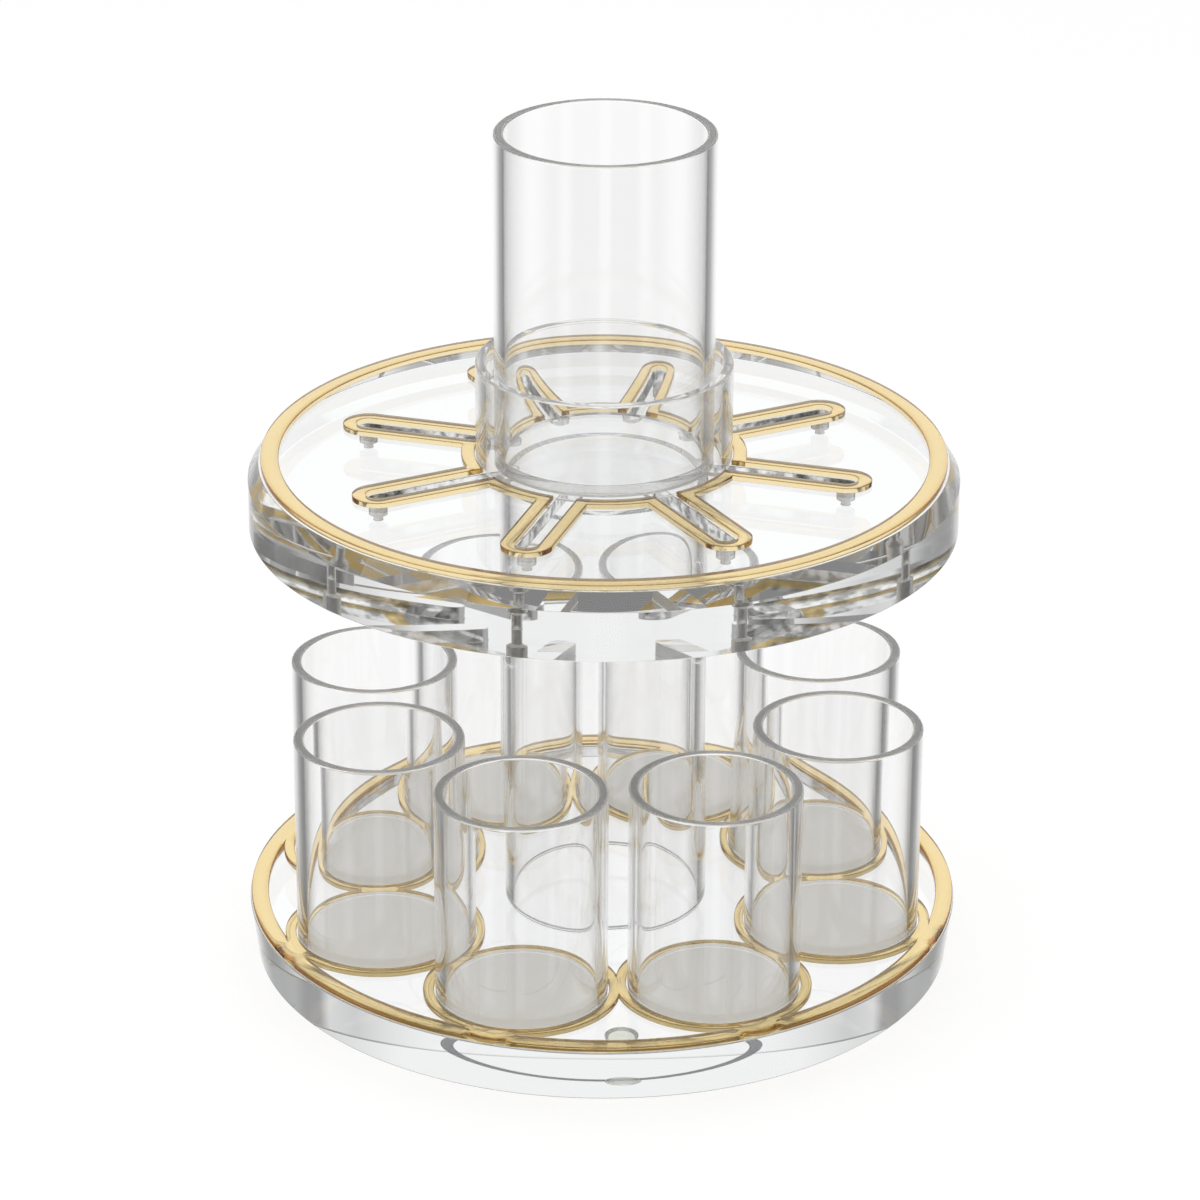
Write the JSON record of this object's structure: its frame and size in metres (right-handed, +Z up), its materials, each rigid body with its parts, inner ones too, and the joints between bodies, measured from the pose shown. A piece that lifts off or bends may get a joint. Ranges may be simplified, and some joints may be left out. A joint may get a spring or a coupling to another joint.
{
  "type": "kiddush fountain",
  "caption": "Clear table fountain: a large cup in a collar on a grooved upper disc, whose drains fill a ring of small cups standing in gold rings on the base disc.",
  "frame": {"origin": "middle of the object on the surface that its feet stand on", "axes": "+Z up along the axis of the column and the large cup; -Y is the front, between two small cups"},
  "size_m": [0.2158, 0.2158, 0.261],
  "materials": {
    "clear_acrylic": "clear cast acrylic, polished",
    "frosted_acrylic": "grey frosted acrylic disc",
    "gold_mirror_acrylic": "gold mirror acrylic sheet, laser cut, amber edges",
    "clear_bumper": "clear soft polyurethane bumper"
  },
  "bodies": {
    "stand": {"base_disc": "clear_acrylic", "base_lattice": "gold_mirror_acrylic", "column_tube": "clear_acrylic", "top_disc": "clear_acrylic", "rim_ring": "gold_mirror_acrylic", "channel_trim": "gold_mirror_acrylic", "well_collar": "clear_acrylic", "foot_1": "clear_bumper", "foot_2": "clear_bumper", "foot_3": "clear_bumper", "foot_4": "clear_bumper"},
    "large_cup": {"large_cup_tube": "clear_acrylic", "large_cup_floor": "clear_acrylic"},
    "small_cup_1": {"small_cup_1_tube": "clear_acrylic", "small_cup_1_floor": "frosted_acrylic"},
    "small_cup_2": {"small_cup_2_tube": "clear_acrylic", "small_cup_2_floor": "frosted_acrylic"},
    "small_cup_3": {"small_cup_3_tube": "clear_acrylic", "small_cup_3_floor": "frosted_acrylic"},
    "small_cup_4": {"small_cup_4_tube": "clear_acrylic", "small_cup_4_floor": "frosted_acrylic"},
    "small_cup_5": {"small_cup_5_tube": "clear_acrylic", "small_cup_5_floor": "frosted_acrylic"},
    "small_cup_6": {"small_cup_6_tube": "clear_acrylic", "small_cup_6_floor": "frosted_acrylic"},
    "small_cup_7": {"small_cup_7_tube": "clear_acrylic", "small_cup_7_floor": "frosted_acrylic"},
    "small_cup_8": {"small_cup_8_tube": "clear_acrylic", "small_cup_8_floor": "frosted_acrylic"}
  },
  "joints": [
    {"name": "large_cup_lift", "type": "slide", "parent": "stand", "child": "large_cup", "axis": [0, 0, 1], "range_m": [0, 0.06]},
    {"name": "small_cup_1_lift", "type": "slide", "parent": "stand", "child": "small_cup_1", "axis": [0, 0, 1], "range_m": [0, 0.05]},
    {"name": "small_cup_2_lift", "type": "slide", "parent": "stand", "child": "small_cup_2", "axis": [0, 0, 1], "range_m": [0, 0.05]},
    {"name": "small_cup_3_lift", "type": "slide", "parent": "stand", "child": "small_cup_3", "axis": [0, 0, 1], "range_m": [0, 0.05]},
    {"name": "small_cup_4_lift", "type": "slide", "parent": "stand", "child": "small_cup_4", "axis": [0, 0, 1], "range_m": [0, 0.05]},
    {"name": "small_cup_5_lift", "type": "slide", "parent": "stand", "child": "small_cup_5", "axis": [0, 0, 1], "range_m": [0, 0.05]},
    {"name": "small_cup_6_lift", "type": "slide", "parent": "stand", "child": "small_cup_6", "axis": [0, 0, 1], "range_m": [0, 0.05]},
    {"name": "small_cup_7_lift", "type": "slide", "parent": "stand", "child": "small_cup_7", "axis": [0, 0, 1], "range_m": [0, 0.05]},
    {"name": "small_cup_8_lift", "type": "slide", "parent": "stand", "child": "small_cup_8", "axis": [0, 0, 1], "range_m": [0, 0.05]}
  ]
}
